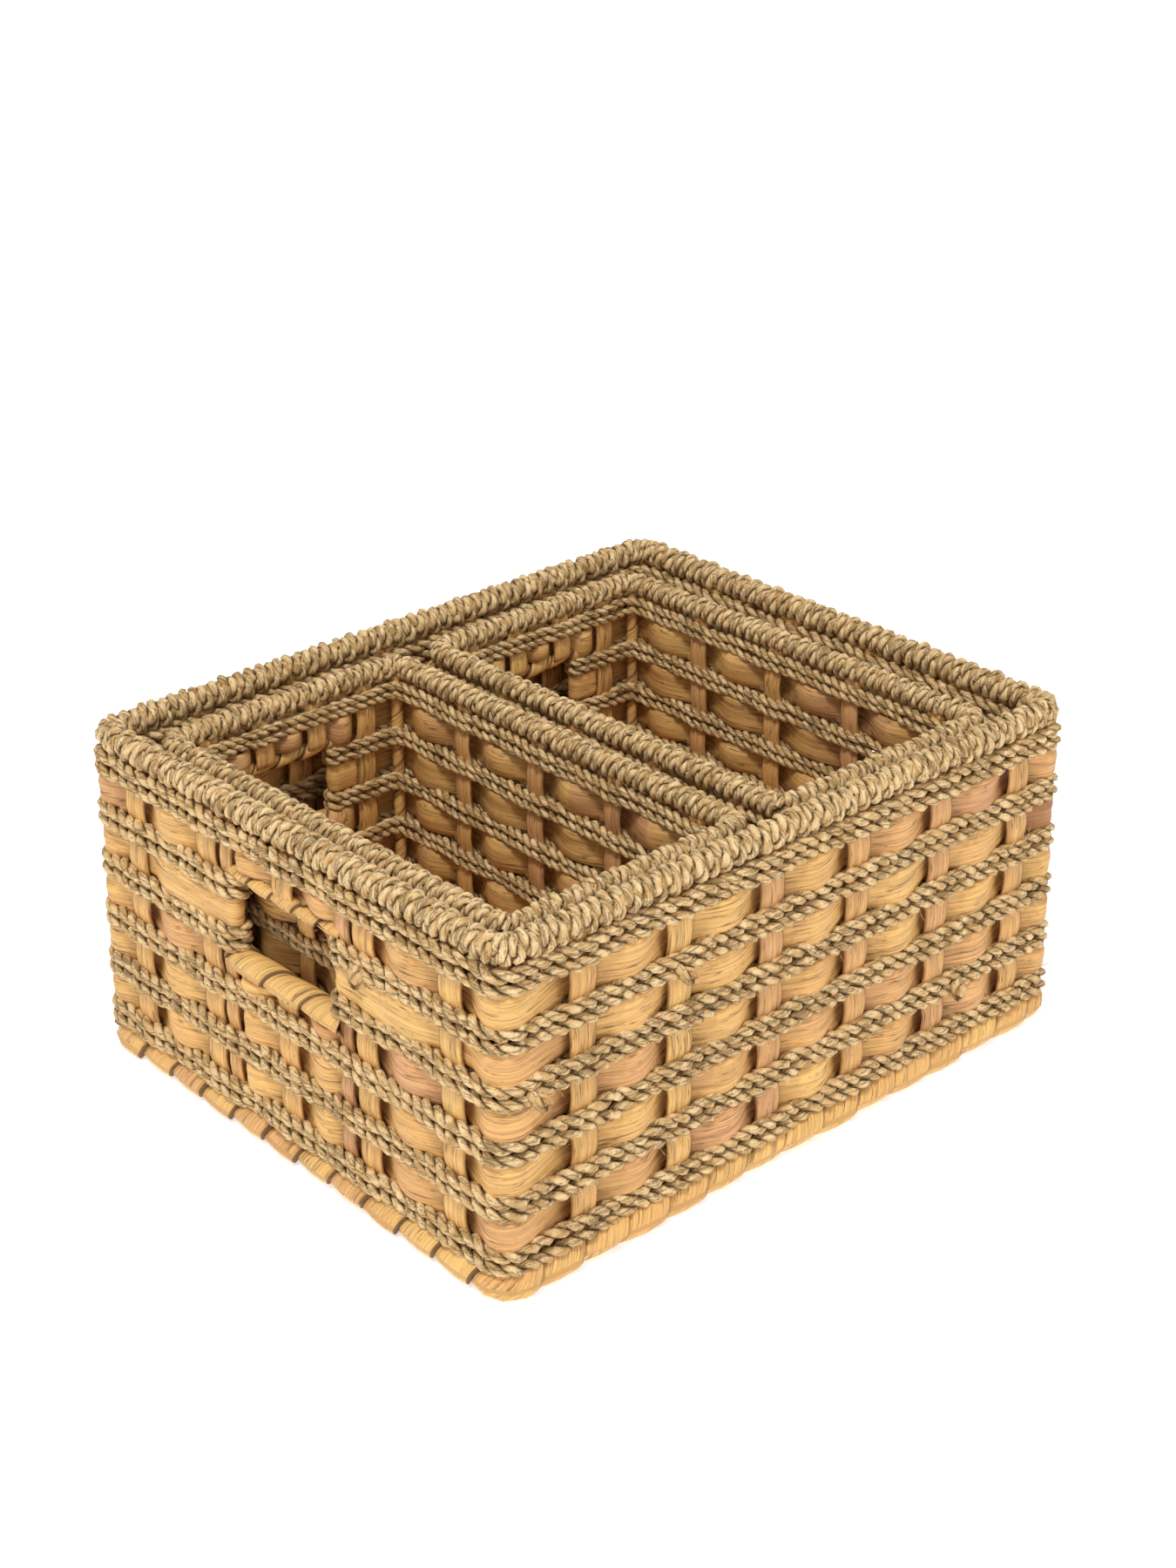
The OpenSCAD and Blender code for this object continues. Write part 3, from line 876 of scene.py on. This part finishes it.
def ply_mesh(net, curve, take, ply, facets):
    """Gives one ply of the cord its body, fibre coordinates, tone and rise."""
    ply_r, seed, run = take["Ply radius"], take["Seed"], length_so_far(net)
    lumps = uneven(net, run, 170.0, seed, 3.1 * ply, detail=1.5)
    curve = keep_named(net, curve, "run", run)
    curve = keep_named(net, curve, "tone", (lumps - 0.5) * 1.5 + take["Tone"])
    swell = uneven(net, run, 330.0, seed, 7.7 * ply)
    ring = keep_named(net, ring_of(net, facets), "round", net.add("GeometryNodeSplineParameter"))
    body = net.add("GeometryNodeCurveToMesh", None,
                   {"Curve": curve, "Profile Curve": ring, "Scale": ply_r * (0.7 + swell * 0.6),
                    "Fill Caps": True})
    run = named(net, "run")
    angle = named(net, "round") * TAU + run * 260.0
    grain = net.add("ShaderNodeCombineXYZ", None,
                    {0: run + 1.7 * ply + seed, 1: net.math("COSINE", angle) * ply_r,
                     2: net.math("SINE", angle) * ply_r})
    body = keep_named(net, body, "grain", grain, "FLOAT_VECTOR")
    # The rise, a point's distance from the cord's axis, sets the shade painted into the crevices
    # between the plies.
    from_axis = net.add("GeometryNodeInputPosition") - named(net, "axis", "FLOAT_VECTOR")
    reach = net.add("ShaderNodeVectorMath", {"operation": "LENGTH"}, {0: from_axis}, output=1)
    return keep_named(net, body, "rise", reach / (ply_r + take["Ply offset"]))


def start_tree(name, source, labels):
    """A new tree that takes one geometry and some numbers, and the wires they come in on."""
    tree = bpy.data.node_groups.new(name, "GeometryNodeTree")
    tree.interface.new_socket(source, in_out="INPUT", socket_type="NodeSocketGeometry")
    for label in labels:
        kind = "NodeSocketInt" if label == "Count seed" else "NodeSocketFloat"
        tree.interface.new_socket(label, in_out="INPUT", socket_type=kind)
    tree.interface.new_socket("Result", in_out="OUTPUT", socket_type="NodeSocketGeometry")
    net = Net(tree)
    entry = tree.nodes.new("NodeGroupInput")
    return net, {socket.name: Wire(net, socket) for socket in entry.outputs if socket.name}


def finish_tree(net, geometry):
    geometry = net.add("GeometryNodeRealizeInstances", None, {"Geometry": geometry})
    geometry = net.add("GeometryNodeSetMaterial", None,
                       {"Geometry": geometry, "Material": MATERIALS["seagrass"]})
    leave = net.tree.nodes.new("NodeGroupOutput")
    net.feed(leave, {"Result": geometry})
    return net.tree


def cord_tree(name, coiled):
    """A two-ply cord along a path, or coiled closely round it."""
    net, take = start_tree(name, "Path", ("Step", "Ply radius", "Ply offset", "Twist length",
                                          "Coil radius", "Tone", "Seed"))
    curve = net.add("GeometryNodeMeshToCurve", None, {"Mesh": take["Path"]})
    curve = net.add("GeometryNodeResampleCurve", {"mode": "LENGTH"},
                    {"Curve": curve, "Length": take["Step"]})
    if coiled:
        curve = lay_round(net, curve, take["Coil radius"], named(net, "turns"), 0.5, take["Seed"],
                          "Z_UP")
    axis = net.add("GeometryNodeInputPosition")
    curve = keep_named(net, curve, "axis", axis, "FLOAT_VECTOR")
    join = net.tree.nodes.new("GeometryNodeJoinGeometry")
    plies = []
    for ply in range(2):
        turns = length_so_far(net) / take["Twist length"] + 0.5 * ply
        laid = lay_round(net, curve, take["Ply offset"], turns, 0.25, take["Seed"] + 5.0,
                         "MINIMUM_TWIST")
        plies.append(ply_mesh(net, laid, take, ply, 6))
    for ply in plies:
        net.feed(join, {0: ply})
    cord = Wire(net, join.outputs[0])
    for spare in ("run", "round", "axis", "turns"):
        cord = net.add("GeometryNodeRemoveAttribute", None, {"Geometry": cord, "Name": spare})
    return finish_tree(net, net.add("GeometryNodeSetShadeSmooth", None, {"Geometry": cord}))


CORD_TREE = cord_tree("twisted_cord", False)
COIL_TREE = cord_tree("coiled_cord", True)


def path_object(name, paths, turns=None):
    """Edges along each path: [(points, closed)]. Turns counts a coil's turns up to each point."""
    verts, edges, count = [], [], 0
    for points, closed in paths:
        n = len(points)
        verts.extend(points.tolist())
        edges.extend((count + i, count + i + 1) for i in range(n - 1))
        if closed:
            edges.append((count + n - 1, count))
        count += n
    mesh = bpy.data.meshes.new(name + "_path")
    mesh.from_pydata(verts, edges, [])
    if turns is not None:
        store(mesh, "turns", turns)
    return add_to_scene(name + "_path", mesh)


def grow(source, name, tree, sizes):
    """Runs a tree on the source object, keeps the result as a plain mesh and drops the source."""
    modifier = source.modifiers.new("grow", "NODES")
    modifier.node_group = tree
    for item in tree.interface.items_tree:
        if item.in_out == "INPUT" and item.name in sizes:
            modifier[item.identifier] = sizes[item.name]
    graph = bpy.context.evaluated_depsgraph_get()
    mesh = bpy.data.meshes.new_from_object(source.evaluated_get(graph), depsgraph=graph)
    mesh.name = name
    source.modifiers.remove(modifier)
    bpy.data.objects.remove(source)
    return add_to_scene(name, mesh)


def twist_sizes(cord_r, step, twist, tone, seed, ply=0.6, offset=0.44):
    """What the cord tree takes. Ply and offset are shares of the cord's radius."""
    return {"Step": step, "Ply radius": cord_r * ply, "Ply offset": cord_r * offset,
            "Twist length": twist, "Tone": tone, "Seed": float(seed)}


def belong(piece, basket):
    """For a piece that stands for no CAD node."""
    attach(piece, basket.body)


# The coil lies a little inside the rim's outline
RIM_SLACK = 0.9 * MM


def coil_turns(centre, outs, pitch, rim_r):
    """Turns up to each point of the rim's path. Round a corner they keep their pitch outside."""
    outside = along_path(centre + outs * rim_r * 0.6)
    count = round(outside[-1] / pitch)
    return outside / outside[-1] * count


def coil_rim(basket):
    bend = basket.rim_r + 0.6 * MM
    centre, outs = wall_loop(basket, 0, basket.rim_z, 3 * MM, bend)
    centre, outs = np.vstack([centre, centre[:1]]), np.vstack([outs, outs[:1]])
    size = basket.rim_r / (10 * MM)
    cord_r = 4.2 * MM * size
    name = f"{basket.name}_coiled_rim"
    turns = coil_turns(centre, outs, 9.3 * MM * size, basket.rim_r)
    sizes = twist_sizes(cord_r, 0.34 * MM, 13 * MM * size, 0.62, basket.seed, 0.55, 0.45)
    sizes["Coil radius"] = basket.rim_r - cord_r - RIM_SLACK
    path = path_object(name, [(basket.to_nest(centre), False)], turns)
    piece = grow(path, name, COIL_TREE, sizes)
    settle(piece, basket, "seagrass", "rim_wrap")
    fray(piece, basket, 1800, 5 * MM, basket.seed)
    sheaf = Sheaf()
    centre, outs = wall_loop(basket, 0, basket.rim_z, 5 * MM, bend)
    wound_bar(sheaf, centre, outs, UP, basket.rim_r * 0.5, 30 * MM, draws(basket, 89), closed=True,
              step=0.5 * MM, sides=12)
    belong(sheaf.make(f"{basket.name}_rim_core", MATERIALS["seagrass"], basket), basket)


CORD_STEP = 4 * MM
CORD_DEPTH = {"over": 5.5 * MM, "under": 3.6 * MM, "corner": 4.9 * MM, "between": 4.3 * MM}
CORD_SPREAD = {"over": 0.96, "under": 0.88, "corner": 1.0}


def cord_run(basket, side, face, z, row, rng, start=None, stop=None):
    """Points of one cord strand along a side: it swells over a stake on its own face of the wall
    and sinks in over one on the other face."""
    outer = face == "outer"
    bend = basket.outer_bend if outer else basket.corner_r
    s = sample_side(basket, side, CORD_STEP, start, stop, bend)
    knots = basket.knots(side, bend)
    places, depths, parts = [], [], []
    own = "outside" if outer else "inside"
    for i, (at, kind) in enumerate(knots):
        sort = "corner" if kind == "corner" else "over" if kind == own else "under"
        stray = rng.uniform(-0.4, 0.4) * MM * (kind != "corner")
        places.append(at)
        depths.append(CORD_DEPTH[sort] + stray)
        parts.append(CORD_SPREAD[sort] + stray / (4 * MM))
        if i + 1 < len(knots) and knots[i + 1][0] - at > 20 * MM:
            places.append((at + knots[i + 1][0]) / 2)
            depths.append(CORD_DEPTH["between"] + rng.uniform(-0.4, 0.4) * MM)
            parts.append(rng.uniform(0.9, 1.22))
    wander = [rng.uniform(-0.8, 0.8) * MM * (0 < j < len(places) - 1) for j in range(len(places))]
    height = z + row * basket.cord_r * ease(s, places, parts) + ease(s, places, wander)
    depth = (1 if outer else -1) * basket.scale * ease(s, places, depths)
    return basket.wall(side, s, depth, height, bend)


def cord_loop(basket, face, z, row, rng):
    return np.concatenate([cord_run(basket, side, face, z, row, rng) for side in basket.order])


def cord_between_holes(basket, side, z, row, rng):
    """A strand that runs outside from hand hole to hand hole, turns back round the post and
    returns inside."""
    before, after = (side - 1) % 4, (side + 1) % 4
    stop = basket.bar_half + 2.5 * MM
    outer, inner = (np.concatenate([cord_run(basket, before, face, z, row, rng, start=stop),
                                    cord_run(basket, side, face, z, row, rng),
                                    cord_run(basket, after, face, z, row, rng, stop=-stop)])
                    for face in ("outer", "inner"))
    angle = np.linspace(0, math.pi, 9)[1:-1]
    depth = 4.6 * MM * np.cos(angle) * basket.scale
    turn_before, turn_after = (
        basket.wall(at, way * (stop - 4.0 * MM * np.sin(angle)), depth, z + row * basket.cord_r)
        for at, way in ((before, 1), (after, -1)))
    return np.concatenate([outer, turn_after, inner[::-1], turn_before[::-1]])


def twine_cords(basket, k):
    """The two rows of cord in one zone, each a strand on both faces of the wall."""
    rng, z, paths = draws(basket, 40 + k), basket.zone_z[k - 1], []
    for row in (1, -1):
        if k in (OPEN_BAND, OPEN_BAND + 1):
            loops = [cord_between_holes(basket, side, z, row, rng) for side in (0, 2)]
        else:
            loops = [cord_loop(basket, face, z, row, rng) for face in ("outer", "inner")]
        paths += [(basket.to_nest(loop), True) for loop in loops]
    name, cord_r = f"{basket.name}_twined_cords_{k}", basket.cord_r
    sizes = twist_sizes(cord_r, 1.9 * MM, cord_r * 4.7, 0.47, basket.seed + k)
    piece = grow(path_object(name, paths), name, CORD_TREE, sizes)
    settle(piece, basket, "seagrass", f"cords_{k}")
    fray(piece, basket, 2600, 8 * MM, basket.seed + k)


# --- loose ends, by Geometry Nodes

def stray_tree():
    """Fine fibre ends that lift off the faces of a cord."""
    net, take = start_tree("stray_fibres", "Cord", ("Density", "Length", "Thickness", "Count seed"))
    seed = take["Count seed"]
    blade = net.add("GeometryNodeCurveQuadraticBezier", None,
                    {"Resolution": 4, "Start": (-0.15, 0, -0.12), "Middle": (0.45, 0, 0.1),
                     "End": (1.0, 0.15, 0.62)})
    taper = 1.0 - net.add("GeometryNodeSplineParameter") * 0.75
    blade = net.add("GeometryNodeCurveToMesh", None,
                    {"Curve": blade, "Profile Curve": ring_of(net, 3), "Fill Caps": True,
                     "Scale": take["Thickness"] * taper})
    scatter = net.tree.nodes.new("GeometryNodeDistributePointsOnFaces")
    net.feed(scatter, {"Mesh": take["Cord"], "Density": take["Density"], "Seed": seed})
    spin = net.add("FunctionNodeRandomValue", {"data_type": "FLOAT_VECTOR"},
                   {0: (-0.25, -0.25, 0.0), 1: (0.25, 0.25, TAU), 8: seed})
    turned = net.add("FunctionNodeRotateRotation", {"rotation_space": "LOCAL"},
                     {0: Wire(net, scatter.outputs["Rotation"]), 1: spin})
    size = net.add("FunctionNodeRandomValue", {"data_type": "FLOAT"}, {2: 0.3, 3: 1.0, 8: seed},
                   output=1)
    fibres = net.add("GeometryNodeInstanceOnPoints", None,
                     {"Points": Wire(net, scatter.outputs["Points"]), "Instance": blade,
                      "Rotation": turned, "Scale": size * take["Length"]})
    fibres = net.add("GeometryNodeRealizeInstances", None, {"Geometry": fibres})
    place = net.add("GeometryNodeInputPosition")
    fibres = keep_named(net, fibres, "grain", place, "FLOAT_VECTOR")
    fibres = keep_named(net, fibres, "tone", noise(net, place, scale=160.0, detail=0.0) * 1.2)
    return finish_tree(net, keep_named(net, fibres, "rise", 1.0))


STRAY_TREE = stray_tree()


def fray(cord, basket, density, length, seed):
    """Loose fibre ends along a finished cord, as their own piece."""
    source = add_to_scene(cord.name + "_fibres", cord.data.copy())
    sizes = {"Density": density, "Length": length, "Thickness": 0.045, "Count seed": seed}
    belong(grow(source, cord.name + "_stray_fibres", STRAY_TREE, sizes), basket)


# Short cut ends of cord tucked through the weave: side, share of the side, row of cords, lean
TUCKED_ENDS = ((0, -0.235, 2, 1), (0, -0.475, 3, 1), (0, 0.31, 5, -1), (3, 0.19, 2, 1),
               (1, -0.36, 4, 1), (2, 0.2, 3, 1), (1, 0.37, 4, -1), (2, -0.33, 5, 1))


def tuck_ends():
    """Cut ends of cord that stand a little out of the wide basket's wall."""
    basket, paths = WIDE, []
    t = np.linspace(0, 1, 5)
    for side, share, row, lean in TUCKED_ENDS:
        s = share * basket.sides[side % 2] + lean * 7 * MM * t
        d = 3 * MM + 10.0 * MM * t ** 0.8
        z = basket.zone_z[row - 1] - 2.5 * MM - 4 * MM * t ** 2
        paths.append((basket.to_nest(basket.wall(side, s, d, z, basket.outer_bend)), False))
    sizes = twist_sizes(basket.cord_r * 1.15, 1.5 * MM, 15 * MM, 0.45, 91)
    name = "wide_tucked_ends"
    belong(grow(path_object(name, paths), name, CORD_TREE, sizes), basket)


# --- stage, light and camera

def make_camera():
    data = bpy.data.cameras.new("camera")
    data.sensor_fit = "VERTICAL"
    data.sensor_height = 36.0
    data.lens = 64.3
    data.shift_x, data.shift_y = -0.014, -0.144
    camera = add_to_scene("camera", data)
    camera.location = (-0.9632, -1.0635, 0.8602)
    aim = Vector((-0.0151, -0.0394, 0.3103)) - camera.location
    camera.rotation_euler = aim.to_track_quat("-Z", "Y").to_euler()
    bpy.context.scene.camera = camera


def make_floor():
    mesh = bpy.data.meshes.new("floor")
    reach = 30.0
    corners = [(-reach, -reach, 0), (reach, -reach, 0), (reach, reach, 0), (-reach, reach, 0)]
    mesh.from_pydata(corners, [], [(0, 1, 2, 3)])
    mesh.materials.append(new_material("pale_floor", {
        "Base Color": (0.8, 0.8, 0.8, 1), "Roughness": 0.7,
        "Emission Color": (1, 1, 1, 1), "Emission Strength": 0.57}))
    add_to_scene("floor", mesh)


def add_softbox(name, place, aim, size, power):
    data = bpy.data.lights.new(name, "AREA")
    data.shape, data.size, data.energy = "DISK", size, power
    lamp = add_to_scene(name, data)
    lamp.location = place
    lamp.rotation_euler = (Vector(aim) - Vector(place)).to_track_quat("-Z", "Y").to_euler()


def light_stage():
    world = bpy.data.worlds.new("studio")
    world.use_nodes = True
    sky = world.node_tree.nodes["Background"]
    sky.inputs["Color"].default_value = (1.0, 1.0, 1.0, 1)
    sky.inputs["Strength"].default_value = 0.59
    bpy.context.scene.world = world
    add_softbox("key", (-1.15, -0.75, 2.7), (0, 0, 0.05), 0.6, 47)
    add_softbox("fill", (0.9, -2.4, 1.3), (0, 0, 0.1), 1.4, 7)
    bpy.context.scene.view_settings.view_transform = "Standard"


def polish_frames():
    for basket in BASKETS:
        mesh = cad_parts[f"{basket.name}_frame"].data
        mesh.materials.clear()
        mesh.materials.append(MATERIALS["steel"])


# Label, CAD node, group of random numbers and what lays the strips
STRIP_WORK = [("upright_stakes", "stakes", 61, plant_stakes),
              ("wound_foot", "foot_wrap", 71, wind_foot),
              ("wound_uprights", "corner_wraps", 73, wind_corner_posts),
              ("hand_grips", "grips", 79, wind_grips), ("woven_base", "base", 83, weave_base)]

make_camera()
make_floor()
light_stage()
polish_frames()
for basket in BASKETS:
    for k in range(1, BANDS + 1):
        lay_strips(basket, f"woven_band_{k}", f"band_{k}", k, partial(weave_band, k=k))
for work in STRIP_WORK:
    for basket in BASKETS:
        lay_strips(basket, *work)
for basket in BASKETS:
    coil_rim(basket)
for basket in BASKETS:
    for k in range(1, BANDS + 2):
        twine_cords(basket, k)
tuck_ends()
